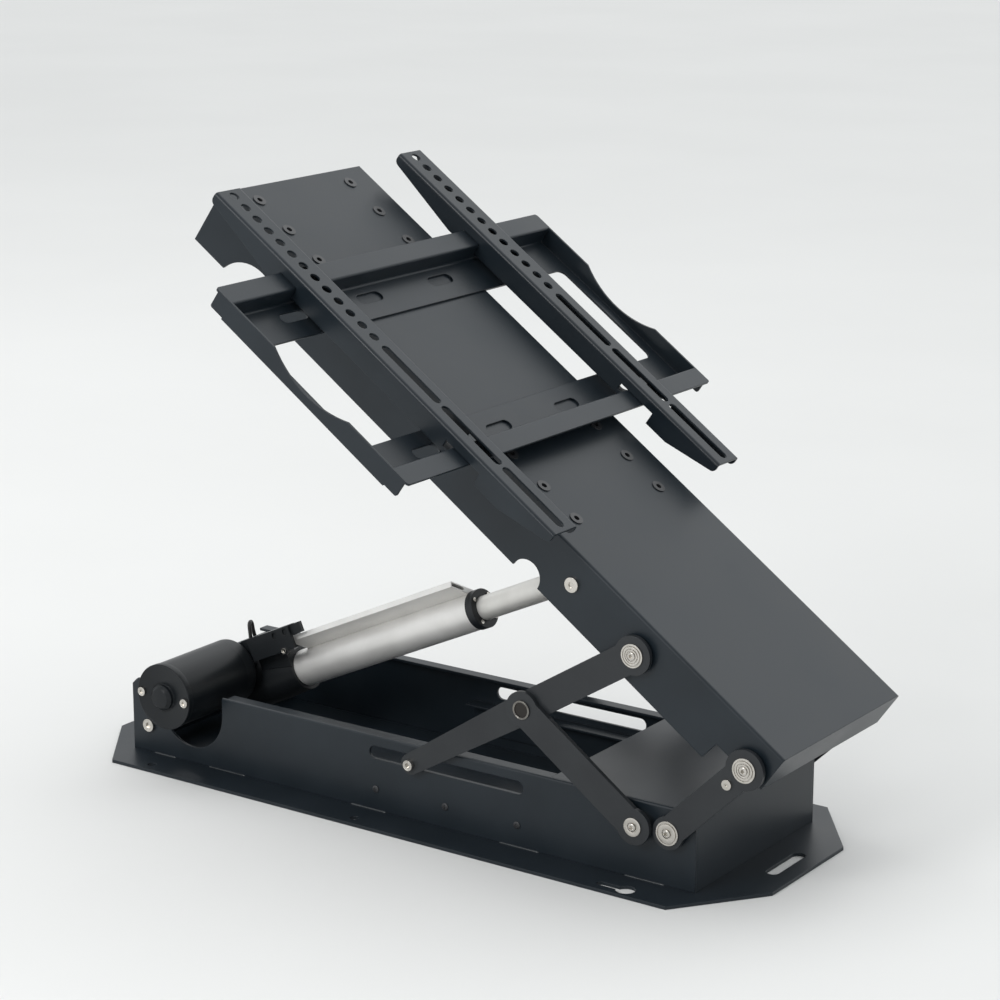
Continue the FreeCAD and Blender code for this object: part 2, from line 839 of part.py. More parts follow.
def make_frame_end(side):
    y0 = side * frame_width / 2
    y1 = y0 - side * frame_sheet
    top = frame_rail_height
    low = frame_end_low
    reach = frame_flange - frame_end_setback
    outline = [(-frame_start, 0), (-frame_start, low), (-frame_start + reach, low),
               (-frame_start + reach, top), (-frame_end - reach, top),
               (-frame_end - reach, low), (-frame_end, low), (-frame_end, 0)]
    plate = plate_xz(outline, y0, y1)
    plate = rounded(plate, frame_end_corner_r, lambda e: (
        e.BoundBox.YLength > frame_sheet / 2 and abs(e.BoundBox.ZMin - low) < 0.01
        and abs(e.BoundBox.XMin + (frame_start + frame_end) / 2)
        > (frame_end - frame_start) / 2 + reach / 2))
    half = frame_dip_length / 2
    dip_r = (half * half + frame_dip * frame_dip) / (2 * frame_dip)
    middle = -(frame_start + frame_end) / 2
    return plate.cut(bar_y((middle, top - frame_dip + dip_r), y0, y1, dip_r))


def make_screen_rail(side):
    """Channel rail hooked over both flanges of the frame, open underneath."""
    stagger = rail_stagger * (side + 1) / 2
    bottom = rail_middle - rail_length / 2 + stagger
    top = bottom + rail_length
    y_mid = side * rail_side
    t = rail_sheet
    seat = frame_rail_height + rail_seat_gap
    high = rail_face_height
    lower_wall = frame_start + frame_sheet + rail_seat_gap
    upper_wall = frame_end - frame_sheet - rail_seat_gap
    relief = lower_wall + rail_relief_length
    lower_hook = frame_start - frame_flange - rail_hook_reach
    upper_hook = frame_end + frame_flange + rail_hook_gap
    outline = [(bottom, high), (bottom, rail_end_height),
               (bottom + rail_lower_taper, rail_wing_height), (lower_hook, rail_wing_height),
               (lower_hook, seat), (relief, seat), (relief, rail_relief_low),
               (lower_wall, rail_relief_low), (lower_wall, rail_tab_height),
               (upper_wall, rail_tab_height), (upper_wall, seat), (upper_hook, seat),
               (upper_hook, rail_wing_height), (top - rail_upper_taper, rail_wing_height),
               (top, rail_end_height), (top, high)]
    y0 = y_mid - rail_width / 2
    y1 = y_mid + rail_width / 2
    solid = plate_xz([(-u, h) for u, h in outline], y0, y1)
    solid = rounded(solid, rail_corner_r, lambda e: (
        e.BoundBox.ZLength < e.BoundBox.YLength and e.BoundBox.XLength < t
        and abs(e.BoundBox.ZMin - rail_end_height) < 0.01))
    solid = rounded(solid, rail_bend_r, lambda e: (
        e.BoundBox.XLength > rail_length / 2 and e.BoundBox.ZMin > high - t / 2))
    hollow = box(-top, -bottom, y0 + t, y1 - t, 0, high - t)
    hollow = rounded(hollow, rail_bend_inner_r, lambda e: (
        e.BoundBox.XLength > rail_length / 2 and e.BoundBox.ZMin > high / 2))
    cuts = [hollow]
    for i in range(rail_hole_count):
        x = -(top - rail_hole_first - i * rail_hole_pitch)
        cuts.append(bar_z(x, y_mid, high - t, high, rail_hole_r))
    for i in range(rail_slot_count):
        start = -(top - rail_slot_first - i * rail_slot_pitch)
        end = start + rail_slot_length
        cuts.append(slot_z((start, y_mid), (end, y_mid), rail_slot_r, high - t, high))
    return solid.cut(fused(cuts))


motor_axis = (motor_at, motor_height)


def make_gear_cover():
    """Rear half of the gearbox, with the eye that turns on the rear pivot."""
    y = rear_eye_width / 2
    eye = bar_y((0, 0), -y, y, rear_eye_r)
    neck = box(0, gear_start, -y, y, -rear_eye_r, rear_eye_r)
    cap = bar_x(gear_start, gear_split, gear_r)
    bore = bar_y((0, 0), -y, y, rear_pivot_r + pivot_clearance)
    return fused([eye, neck, cap]).cut(bore)


def make_sleeve():
    """Tapered sleeve of the gearbox around the tube's root, still solid."""
    return Part.makeCone(gear_r, sleeve_end_r, sleeve_end - gear_end, vec(gear_end, 0, 0),
                         vec(1, 0, 0))


def make_gear_housing():
    """Front half of the gearbox with the motor flange and the tube's sleeve."""
    flange_start = -motor_back
    flange_end = flange_start + motor_flange
    flange = bar_y(motor_axis, flange_start, flange_end, motor_r)
    flange = flange.makeFillet(motor_flange_round, [e for e in flange.Edges if
                               e.BoundBox.YMin > flange_end - 0.01])
    outside = [bar_x(gear_split, gear_end, gear_r), make_sleeve(), flange,
               bar_y(motor_axis, flange_end, tunnel_end, tunnel_r)]
    inside = [bar_x(gear_split, gear_cavity_end, gear_cavity_r),
              bar_x(gear_cavity_end, sleeve_seat, screw_r + inner_play),
              bar_x(sleeve_seat, sleeve_end, tube_r + tube_fit),
              bar_y(motor_axis, flange_start, shaft_end + inner_play, tunnel_bore_r)]
    return fused(outside).cut(fused(inside))


def make_motor_can():
    can = bar_y(motor_axis, -motor_front, -motor_back, motor_r)
    return can.cut(bar_y(motor_axis, -motor_front, -motor_back, motor_r - motor_wall))


def make_motor_cap():
    """Front cap with a chamfered bearing boss and two screw places."""
    back = -motor_front
    face = back - cap_thick
    plate = bar_y(motor_axis, face, back, cap_r)
    boss = bar_y(motor_axis, face - cap_boss, face, cap_boss_r)
    boss = boss.makeChamfer(cap_boss_chamfer, [e for e in boss.Edges if
                            e.BoundBox.YMax < face - cap_boss + 0.01])
    shaft_hole = bar_y(motor_axis, -shaft_front, back, shaft_r + pivot_clearance)
    return fused([plate, boss]).cut(shaft_hole)


def make_cap_screws():
    turn = math.radians(cap_screw_turn)
    face = -motor_front - cap_thick
    screws = []
    for side in (-1, 1):
        reach = side * cap_screw_side
        p = (motor_axis[0] + reach * math.cos(turn), motor_axis[1] + reach * math.sin(turn))
        head = bar_y(p, face - cap_screw_head, face, cap_screw_r)
        socket = bar_y(p, face - cap_screw_head, face - cap_screw_head + socket_depth,
                       cap_screw_r / 2)
        screws.append(head.cut(socket))
    return Part.makeCompound(screws)


def make_magnets():
    """Two magnet shells inside the can, with a gap between them."""
    y0 = -magnet_start
    y1 = -magnet_end
    ring = bar_y(motor_axis, y0, y1, magnet_r)
    ring = ring.cut(bar_y(motor_axis, y0, y1, magnet_r - magnet_thick))
    gap = box(motor_axis[0] - magnet_thick, motor_axis[0] + magnet_thick, y0, y1,
              motor_axis[1] - magnet_r, motor_axis[1] + magnet_r)
    return ring.cut(gap)


def make_armature():
    core = bar_y(motor_axis, -armature_start, -armature_end, armature_r)
    shaft = bar_y(motor_axis, -shaft_front, shaft_end, shaft_r)
    slots = []
    for i in range(wheel_teeth // 3):
        turn = math.radians(36 * i)
        p = (motor_axis[0] + armature_r * math.cos(turn), motor_axis[1] + armature_r * math.sin(turn))
        slots.append(bar_y(p, -armature_start, -armature_end, shaft_r / 2))
    return fused([core, shaft]).cut(fused(slots))


def make_worm():
    """Worm sleeve on the motor shaft."""
    worm = bar_y(motor_axis, -worm_half_length, worm_half_length, worm_r)
    return worm.cut(bar_y(motor_axis, -worm_half_length, worm_half_length, shaft_r))


def make_worm_wheel():
    """Toothed wheel on the lead screw, under the worm."""
    points = []
    for i in range(2 * wheel_teeth):
        turn = math.radians(180.0 * i / wheel_teeth)
        r = wheel_r if i % 2 == 0 else wheel_r - wheel_tooth
        points.append((r * math.cos(turn), r * math.sin(turn)))
    x0 = motor_at - wheel_width / 2
    x1 = motor_at + wheel_width / 2
    return plate_yz(points, x0, x1).cut(bar_x(x0, x1, screw_r))


def make_screw_bearing():
    x1 = bearing_start + bearing_width
    return bar_x(bearing_start, x1, bearing_r).cut(bar_x(bearing_start, x1, screw_r))


def make_actuator_tube():
    """Drawn tube with a flat hollow channel that leaves it at a tangent."""
    round_outer = bar_x(sleeve_seat, tube_end, tube_r)
    turn = math.radians(channel_angle)
    foot = (tube_r * math.cos(turn), tube_r * math.sin(turn))
    along = (-math.sin(turn), math.cos(turn))
    inward = (-math.cos(turn), -math.sin(turn))

    def strip(start, end, low, high):
        corners = []
        for run, sink in ((start, low), (end, low), (end, high), (start, high)):
            corners.append((foot[0] + run * along[0] + sink * inward[0],
                            foot[1] + run * along[1] + sink * inward[1]))
        return plate_yz(corners, channel_start, tube_end)

    channel = strip(0, channel_length, 0, channel_thick)
    pocket = strip(channel_pocket_start, channel_length - channel_wall,
                   channel_wall, channel_thick - channel_wall)
    bore = bar_x(sleeve_seat, tube_end, tube_r - tube_wall)
    return fused([round_outer, channel]).cut(fused([pocket, bore]))


def make_end_ring():
    end = tube_end + end_ring_length
    return bar_x(tube_end, end, end_ring_r).cut(bar_x(tube_end, end, rod_r + rod_clearance))


def make_ring_screws():
    start = tube_end + end_ring_length
    screws = []
    for i in range(ring_screw_count):
        turn = math.radians(45 + 360.0 * i / ring_screw_count)
        head = bar_x(start, start + ring_screw_head, ring_screw_r)
        head.translate(vec(0, ring_screw_pitch_r * math.cos(turn),
                           ring_screw_pitch_r * math.sin(turn)))
        screws.append(head)
    return Part.makeCompound(screws)


def make_rod():
    start = nut_start + nut_length
    end = actuator_length - rod_eye_r + inner_play
    rod = bar_x(start, end, rod_r).cut(bar_x(start, end, rod_bore_r))
    return rod.cut(bar_y((actuator_length, 0), -rod_r, rod_r, rod_eye_r))


def make_rod_nut():
    end = nut_start + nut_length
    return bar_x(nut_start, end, nut_r).cut(bar_x(nut_start, end, screw_r + rod_clearance))


def make_rod_eye():
    """Eye on the rod's end, its stem inside the rod."""
    y = rod_eye_width / 2
    eye = bar_y((actuator_length, 0), -y, y, rod_eye_r)
    stem = bar_x(actuator_length - rod_eye_r - rod_eye_stem, actuator_length, rod_bore_r)
    return fused([eye, stem]).cut(bar_y((actuator_length, 0), -y, y, axle_r))


def make_rod_eye_pin():
    y = rod_eye_width / 2 + rod_eye_pin_proud
    return bar_y((actuator_length, 0), -y, y, axle_r)


def make_switch_housing():
    """Black housing on the sleeve, its front cover and tab reaching past it."""
    y0 = -switch_face
    y1 = y0 + switch_cover
    cover = box(switch_cover_start, switch_cover_end, y0, y1, switch_bottom, switch_top)
    lug = bar_y((switch_screw_at, switch_screw_height), y0, y1, switch_lug_r)
    block = box(switch_start, switch_block_end, y1, -switch_inner, switch_bottom, switch_top)
    tab = box(switch_block_end, switch_tab_end, y1, y1 + switch_tab, switch_tab_low, switch_top)
    foot = box(gear_end, sleeve_end, -switch_foot, -switch_inner, 0, switch_bottom)
    dimples = []
    for p in switch_holes:
        dimples.append(bar_y(p, y0, y0 + switch_cover / 2, switch_hole_r))
    return fused([cover, lug, block, tab, foot.cut(make_sleeve())]).cut(fused(dimples))


def make_switch_screw():
    p = (switch_screw_at, switch_screw_height)
    y0 = -switch_face
    head = bar_y(p, y0 - switch_screw_head, y0, switch_screw_r)
    return head.cut(bar_y(p, y0 - switch_screw_head, y0 - switch_screw_head / 2,
                          switch_screw_r / 3))


def make_motor_lead():
    """Short loop of lead out of the switch housing and back."""
    x1 = 2 * lead_bend_r
    z1 = lead_rise
    root = vec(0, 0, -lead_root)
    rise = Part.LineSegment(root, vec(0, 0, z1)).toShape()
    crown = Part.Arc(vec(0, 0, z1), vec(lead_bend_r, 0, z1 + lead_bend_r),
                     vec(x1, 0, z1)).toShape()
    fall = Part.LineSegment(vec(x1, 0, z1), vec(x1, 0, -lead_root)).toShape()
    path = Part.Wire([rise, crown, fall])
    section = Part.Wire(Part.makeCircle(lead_r, root, vec(0, 0, 1)))
    loop = path.makePipeShell([section], True, False)
    loop.rotate(vec(0, 0, 0), vec(0, 0, 1), lead_turn)
    loop.rotate(vec(0, 0, 0), vec(0, 1, 0), lead_lean)
    loop.translate(vec(lead_at, -lead_side, switch_top))
    reach = lead_rise + x1
    return loop.cut(box(lead_at - reach, lead_at + reach, -lead_side - reach,
                        -lead_side + reach, switch_top - reach, switch_top))


# Base trough
save("base_plate", make_base_plate())
save("near_side_plate", make_side_plate(-1))
save("far_side_plate", make_side_plate(1))
save("rear_end_plate", make_end_plate(-1))
save("front_end_plate", make_end_plate(1))
save("deck_plate", make_deck())
save("slide_guides", both_sides(make_guide))
save("guide_screws", make_guide_screws())
save("rear_pivot_pin", make_rear_pivot_pin())
save("rear_pivot_spacers", both_sides(make_rear_spacer))
wall_tail = -base_sheet - pivot_nut - bolt_tail
save("strut_base_bolts", both_sides(lambda side: washer_bolt(
    strut_foot, side, outer_end + side_play, wall_tail, strut_bolt_head_r)))
save("strut_base_spacers", both_sides(lambda side: spacer(
    strut_foot, side, 0, outer_start - side_play, spacer_r, pivot_r)))
save("crank_base_bolts", both_sides(lambda side: washer_bolt(
    crank_foot, side, inner_end + side_play, wall_tail, crank_bolt_head_r)))
save("crank_base_spacers", both_sides(lambda side: spacer(
    crank_foot, side, 0, inner_start - side_play, spacer_r, pivot_r)))
save("base_pivot_nuts", make_pivot_nuts((strut_foot, crank_foot), base_sheet))

# Struts and lift links
save("near_strut_link", make_strut_link(-1))
save("far_strut_link", make_strut_link(1))
save("centre_pivot_rings", both_sides(make_centre_ring))
save("centre_pivot_plugs", both_sides(make_centre_pin))
save("near_lift_link", make_lift_link(-1))
save("far_lift_link", make_lift_link(1))
save("slot_pins", both_sides(make_slot_pin))
save("slot_pin_washers", make_slot_washers())

# Boom with its screen frame
save("boom_channel", place_boom(make_boom_channel()))
save("boom_rivnuts", place_boom(make_rivnuts()))
save("rod_axle_halves", both_sides(make_axle_half))
save("rod_axle_spacers", both_sides(make_axle_spacer))
save("boom_link_bolts", both_sides(lambda side: washer_bolt(
    lift_top, side, inner_end + side_play, wall_tail, lift_bolt_head_r)))
save("boom_link_spacers", both_sides(lambda side: spacer(
    lift_top, side, 0, inner_start - side_play, spacer_r, pivot_r)))
save("boom_pivot_nuts", make_pivot_nuts((lift_top,), boom_sheet))
save("screen_frame", place_boom(make_screen_frame()))
save("near_screen_rail", place_boom(make_screen_rail(-1)))
save("far_screen_rail", place_boom(make_screen_rail(1)))

# Cranks
save("near_crank", make_crank(-1))
save("far_crank", make_crank(1))
save("crank_head_bolts", both_sides(lambda side: washer_bolt(
    crank_head, side, inner_end, open_pivot_gap, crank_bolt_head_r)))
save("crank_head_spacers", both_sides(lambda side: spacer(
    crank_head, side, open_pivot_gap, inner_start, spacer_r, pivot_r)))
save("crank_set_screws", both_sides(make_set_screw))

# Actuator
save("gear_cover", place_actuator(make_gear_cover()))
save("gear_housing", place_actuator(make_gear_housing()))
save("motor_can", place_actuator(make_motor_can()))
save("motor_end_cap", place_actuator(make_motor_cap()))
save("motor_cap_screws", place_actuator(make_cap_screws()))
save("motor_magnets", place_actuator(make_magnets()))
save("motor_armature", place_actuator(make_armature()))
save("motor_worm", place_actuator(make_worm()))
save("worm_wheel", place_actuator(make_worm_wheel()))
save("screw_bearing", place_actuator(make_screw_bearing()))
save("lead_screw", place_actuator(bar_x(screw_start, screw_end, screw_r)))
save("actuator_tube", place_actuator(make_actuator_tube()))
save("tube_end_ring", place_actuator(make_end_ring()))
save("tube_ring_screws", place_actuator(make_ring_screws()))
save("switch_housing", place_actuator(make_switch_housing()))
save("switch_screw", place_actuator(make_switch_screw()))
save("motor_lead", place_actuator(make_motor_lead()))

# Rod
save("actuator_rod", place_actuator(make_rod()))
save("rod_nut", place_actuator(make_rod_nut()))
save("rod_eye", place_actuator(make_rod_eye()))
save("rod_eye_pin", place_actuator(make_rod_eye_pin()))

for name, p in (("strut_foot", strut_foot), ("crank_foot", crank_foot),
                ("rear_pivot", rear_pivot), ("centre_pivot", centre_pivot),
                ("slot_pin", slot_pin), ("lift_top", lift_top),
                ("crank_head", crank_head), ("boom_corner", boom_corner),
                ("rod_axle", rod_axle)):
    print(name, round(p[0], 4), round(p[1], 4))
print("boom angle", round(math.degrees(boom_angle), 4))
print("actuator angle", round(math.degrees(actuator_angle), 4), round(actuator_length, 4))
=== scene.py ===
# %% [markdown]
# # Motorised flip-up screen mount
# The object is a sheet steel trough with a folding linkage, a steep boom that carries a slotted
# screen frame, and a linear actuator that lifts it.

# %% Load the frame
import math
import bpy
from mathutils import Matrix, Vector


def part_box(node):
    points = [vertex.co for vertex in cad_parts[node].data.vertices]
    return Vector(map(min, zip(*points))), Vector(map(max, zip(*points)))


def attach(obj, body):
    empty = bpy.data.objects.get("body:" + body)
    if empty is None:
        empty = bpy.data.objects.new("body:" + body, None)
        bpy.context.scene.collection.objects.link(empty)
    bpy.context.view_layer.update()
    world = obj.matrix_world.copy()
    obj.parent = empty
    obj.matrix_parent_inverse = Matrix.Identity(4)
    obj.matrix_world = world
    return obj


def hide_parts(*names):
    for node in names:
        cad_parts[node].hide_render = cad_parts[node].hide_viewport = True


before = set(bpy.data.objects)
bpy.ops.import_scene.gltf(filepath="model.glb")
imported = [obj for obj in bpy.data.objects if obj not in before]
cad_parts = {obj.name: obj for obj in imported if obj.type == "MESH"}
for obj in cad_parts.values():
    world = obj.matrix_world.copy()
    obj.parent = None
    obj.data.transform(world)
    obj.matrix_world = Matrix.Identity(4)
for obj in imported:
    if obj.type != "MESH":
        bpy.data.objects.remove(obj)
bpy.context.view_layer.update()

# %% [markdown]
# ## Camera
# The photograph was taken with a long lens from a little above the mount, off the corner between
# its motor side and its crank end. A camera is only a place, a direction and a focal length,
# so it is set from the three axes of its view: right, up and backwards.

# %% The camera at the photograph's angle
CAMERA_PLACE = Vector((1.41998, -1.97392, 0.91354))
VIEW_RIGHT = Vector((0.819865, 0.572556, 0.001078))
VIEW_UP = Vector((-0.147538, 0.209445, 0.966627))
VIEW_BACK = Vector((0.553222, -0.792662, 0.256189))
FOCAL_LENGTH = 101.864
SENSOR_WIDTH = 36.0
LENS_SHIFT = 0.001

camera_data = bpy.data.cameras.new("camera")
camera_data.lens = FOCAL_LENGTH
camera_data.sensor_width = SENSOR_WIDTH
camera_data.sensor_fit = "HORIZONTAL"
camera_data.shift_y = LENS_SHIFT
camera = bpy.data.objects.new("camera", camera_data)
bpy.context.scene.collection.objects.link(camera)
turn = Matrix((VIEW_RIGHT, VIEW_UP, VIEW_BACK)).transposed().to_4x4()
camera.matrix_world = Matrix.Translation(CAMERA_PLACE) @ turn
bpy.context.scene.camera = camera
print("camera at", tuple(CAMERA_PLACE))

# %% [markdown]
# ## Finishes
# Nearly everything is steel sheet with a satin black powder coat. Such a coat is never one flat
# colour: it has a fine orange peel, cloudy changes of gloss, and a slightly paler tone where dust
# settles. A small helper builds a node chain for it: one fine noise drives a bump, and one broad
# noise drives both roughness and a colour ramp. Object coordinates keep the grain at its real
# size on every piece, because every object sits at the origin.


# %% Helpers for node materials
CLOUD_DETAIL = 4.0
GRAIN_DETAIL = 2.0
NOISE_LOW = 0.3
NOISE_HIGH = 0.7
RAMP_LOW = 0.35
RAMP_HIGH = 0.65


def new_material(name):
    """An empty node material with its shader and output joined."""
    material = bpy.data.materials.new(name)
    material.use_nodes = True
    tree = material.node_tree
    tree.nodes.clear()
    output = tree.nodes.new("ShaderNodeOutputMaterial")
    shader = tree.nodes.new("ShaderNodeBsdfPrincipled")
    tree.links.new(shader.outputs["BSDF"], output.inputs["Surface"])
    return material, tree, shader


def object_noise(tree, scale, detail):
    """Noise in real metres on the object."""
    place = tree.nodes.new("ShaderNodeTexCoord")
    noise = tree.nodes.new("ShaderNodeTexNoise")
    noise.inputs["Scale"].default_value = scale
    noise.inputs["Detail"].default_value = detail
    tree.links.new(place.outputs["Object"], noise.inputs["Vector"])
    return noise


def tone_ramp(tree, noise, dark, pale):
    """Colour that wanders between two tones with a noise."""
    ramp = tree.nodes.new("ShaderNodeValToRGB")
    ramp.color_ramp.elements[0].position = RAMP_LOW
    ramp.color_ramp.elements[0].color = (*dark, 1.0)
    ramp.color_ramp.elements[1].position = RAMP_HIGH
    ramp.color_ramp.elements[1].color = (*pale, 1.0)
    tree.links.new(noise.outputs["Fac"], ramp.inputs["Fac"])
    return ramp


def spread(tree, noise, low, high):
    """A number between two values that follows a noise."""
    span = tree.nodes.new("ShaderNodeMapRange")
    span.inputs["From Min"].default_value = NOISE_LOW
    span.inputs["From Max"].default_value = NOISE_HIGH
    span.inputs["To Min"].default_value = low
    span.inputs["To Max"].default_value = high
    tree.links.new(noise.outputs["Fac"], span.inputs["Value"])
    return span


def surface(name, dark, pale, gloss, metal=0.0, grain=900.0, grain_depth=0.00002,
            cloud=14.0, specular=0.5, edge=0.0006):
    """A finish with its own tones, gloss range, grain, clouding and softened edges."""
    material, tree, shader = new_material(name)
    clouds = object_noise(tree, cloud, CLOUD_DETAIL)
    fine = object_noise(tree, grain, GRAIN_DETAIL)
    tones = tone_ramp(tree, clouds, dark, pale)
    tree.links.new(tones.outputs["Color"], shader.inputs["Base Color"])
    rough = spread(tree, clouds, *gloss)
    tree.links.new(rough.outputs["Result"], shader.inputs["Roughness"])
    bump = tree.nodes.new("ShaderNodeBump")
    bump.inputs["Distance"].default_value = grain_depth
    tree.links.new(fine.outputs["Fac"], bump.inputs["Height"])
    if edge:
        round_edge = tree.nodes.new("ShaderNodeBevel")
        round_edge.inputs["Radius"].default_value = edge
        tree.links.new(round_edge.outputs["Normal"], bump.inputs["Normal"])
    tree.links.new(bump.outputs["Normal"], shader.inputs["Normal"])
    shader.inputs["Metallic"].default_value = metal
    shader.inputs["Specular IOR Level"].default_value = specular
    return material


# %% The coated steels, the metals and the plastics
FINISHES = {
    "sheet": surface("satin black sheet", (0.008, 0.013, 0.018), (0.012, 0.018, 0.024),
                     (0.32, 0.40), grain=1100.0, grain_depth=0.00003, specular=0.36,
                     edge=0.0011),
    "link": surface("satin black links", (0.014, 0.016, 0.019), (0.020, 0.023, 0.026),
                    (0.34, 0.42), grain=1000.0, grain_depth=0.00003, specular=0.4,
                    edge=0.0004),
    # The weld's coat is paler than the sheet's. This is a painted highlight which, with the gloss,
    # makes the beads show as thin bright lines.
    "bead": surface("coated weld with painted highlight", (0.020, 0.024, 0.028), (0.034, 0.039, 0.044),
                    (0.22, 0.30), grain=1300.0, cloud=120.0, edge=0.0),
    "zinc": surface("bright zinc plate", (0.52, 0.50, 0.46), (0.62, 0.59, 0.55),
                    (0.20, 0.26), metal=1.0, grain=1600.0, grain_depth=0.000004,
                    cloud=160.0, edge=0.00015),
    "chrome": surface("dark polished ring", (0.17, 0.16, 0.15), (0.24, 0.23, 0.21),
                      (0.10, 0.16), metal=1.0, grain=1600.0, grain_depth=0.000002,
                      cloud=160.0, edge=0.00015),
    "screw": surface("black oxide screw", (0.018, 0.019, 0.021), (0.032, 0.033, 0.036),
                     (0.30, 0.42), grain=1500.0, cloud=200.0, edge=0.0001),
    "bronze": surface("dull sintered bronze", (0.009, 0.007, 0.005), (0.017, 0.013, 0.010),
                      (0.50, 0.62), metal=0.2, grain=1800.0, grain_depth=0.00004,
                      cloud=400.0, edge=0.0),
    "anodised": surface("silver anodised tube", (0.74, 0.73, 0.71), (0.80, 0.79, 0.77),
                        (0.42, 0.50), metal=0.5, grain=1400.0, grain_depth=0.00001,
                        cloud=40.0),
    "rod": surface("satin silver rod", (0.66, 0.65, 0.62), (0.72, 0.71, 0.68),
                   (0.44, 0.52), metal=0.5, grain=1500.0, grain_depth=0.00001,
                   cloud=60.0),
    "motor": surface("satin black paint", (0.007, 0.009, 0.011), (0.011, 0.013, 0.015),
                     (0.30, 0.38), grain=800.0, grain_depth=0.00003, specular=0.26,
                     edge=0.0004),
    "housing": surface("moulded black plastic", (0.007, 0.009, 0.011), (0.011, 0.013, 0.015),
                       (0.36, 0.48), grain=1300.0, grain_depth=0.00004, specular=0.36),
    "steel": surface("turned steel", (0.36, 0.36, 0.36), (0.50, 0.50, 0.49),
                     (0.24, 0.36), metal=1.0, grain=900.0, cloud=120.0),
    "ferrite": surface("dark ferrite", (0.035, 0.035, 0.037), (0.06, 0.06, 0.062),
                       (0.50, 0.65), grain=1200.0, cloud=90.0),
    "nylon": surface("natural nylon", (0.62, 0.60, 0.54), (0.72, 0.70, 0.64),
                     (0.40, 0.52), grain=900.0, cloud=50.0),
    "lead": surface("black lead sleeve", (0.012, 0.012, 0.012), (0.02, 0.02, 0.02),
                    (0.42, 0.55), grain=1400.0, cloud=120.0, edge=0.0),
}
print("finishes", len(FINISHES))

# %% [markdown]
# ## Finishes on the solids
# Each solid takes its finish by what it really is. The lists below name them by finish, so
# that a whole family can be repainted in one place. Only the material slot changes, never
# the mesh.

# %% Give every solid its finish
SOLIDS = {
    "sheet": ["base_plate", "near_side_plate", "far_side_plate", "rear_end_plate",
              "front_end_plate", "deck_plate", "slide_guides", "boom_channel",
              "screen_frame", "near_screen_rail", "far_screen_rail"],
    "link": ["near_strut_link", "far_strut_link", "near_lift_link", "far_lift_link",
             "near_crank", "far_crank"],
    "zinc": ["rear_pivot_pin", "strut_base_bolts", "crank_base_bolts", "base_pivot_nuts",
             "centre_pivot_rings", "slot_pins", "slot_pin_washers", "rod_axle_halves",
             "boom_link_bolts", "boom_pivot_nuts", "crank_head_bolts",
             "crank_set_screws", "motor_cap_screws", "rod_eye_pin", "tube_ring_screws"],
    "screw": ["guide_screws", "boom_rivnuts", "switch_screw"],
    "bronze": ["centre_pivot_plugs"],
    "anodised": ["actuator_tube"],
    "rod": ["actuator_rod", "rod_eye"],
    "motor": ["motor_can", "motor_end_cap"],
    "housing": ["gear_cover", "gear_housing", "switch_housing", "tube_end_ring"],
    "steel": ["motor_armature", "motor_worm", "screw_bearing", "lead_screw"],
    "ferrite": ["motor_magnets"],
    "nylon": ["rear_pivot_spacers", "strut_base_spacers", "crank_base_spacers",
              "rod_axle_spacers", "boom_link_spacers", "crank_head_spacers",
              "worm_wheel", "rod_nut"],
    "lead": ["motor_lead"],
}


def paint(piece, finish):
    """Puts one finish in all the material slots of a piece."""
    slots = piece.material_slots
    if not slots:
        piece.data.materials.append(FINISHES[finish])
    for slot in slots:
        slot.material = FINISHES[finish]


painted = []
for finish, names in SOLIDS.items():
    for name in names:
        paint(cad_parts[name], finish)
        painted.append(name)
print("painted", len(painted), "of", len(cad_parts))
print("left", sorted(set(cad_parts) - set(painted)))

# %% [markdown]
# ## Tools for small pieces
# Bolts, rings and caps are turned parts. A lathe starts from a bar and cuts steps into its end, so
# the same is done here: a flat cylinder stands upright, its top face is chosen, and insets
# walk inwards, each with its own width and its own rise or fall. The piece is then laid on
# its side and set in its place, with the move applied to the mesh.


# %% Select, shape, soften and place
def deselect():
    """Nothing stays selected, so that an operator meets only what is added next."""
    if bpy.context.object and bpy.context.object.mode != "OBJECT":
        bpy.ops.object.mode_set(mode="OBJECT")
    bpy.ops.object.select_all(action="DESELECT")


def only(piece):
    """Makes one piece the selected and active one."""
    deselect()
    bpy.context.view_layer.objects.active = piece
    piece.select_set(True)


def pick_faces(piece, test):
    """Opens a piece in edit mode with just the faces chosen whose centre and normal pass."""
    only(piece)
    bpy.ops.object.mode_set(mode="EDIT")
    bpy.ops.mesh.select_mode(type="FACE")
    bpy.ops.mesh.select_all(action="DESELECT")
    bpy.ops.object.mode_set(mode="OBJECT")
    for face in piece.data.polygons:
        face.select = test(face.center, face.normal)
    bpy.ops.object.mode_set(mode="EDIT")


NEARLY_UPRIGHT = 0.9


def turn_face(piece, upwards, steps):
    """Cuts steps of (width, rise) inwards into the top or the bottom face."""
    pick_faces(piece, lambda centre, normal: normal.z * upwards > NEARLY_UPRIGHT)
    for width, rise in steps:
        bpy.ops.mesh.inset(thickness=width, depth=rise)
    bpy.ops.object.mode_set(mode="OBJECT")


def upright_bar(name, radius, height, sides=64):
    """A short bar that stands on the origin."""
    deselect()
    bpy.ops.mesh.primitive_cylinder_add(vertices=sides, radius=radius, depth=height,
                                        location=(0.0, 0.0, height / 2))
    piece = bpy.context.object
    piece.name = name
    bpy.ops.object.transform_apply(location=True, rotation=True, scale=True)
    return piece


def apply_modifier(piece, kind, **values):
    """Adds a modifier with its values and applies it."""
    only(piece)
    modifier = piece.modifiers.new(kind.lower(), kind)
    for name, value in values.items():
        setattr(modifier, name, value)
    bpy.ops.object.modifier_apply(modifier=modifier.name)


SMOOTH_ANGLE = math.radians(32.0)
ROUND_STEPS = 3


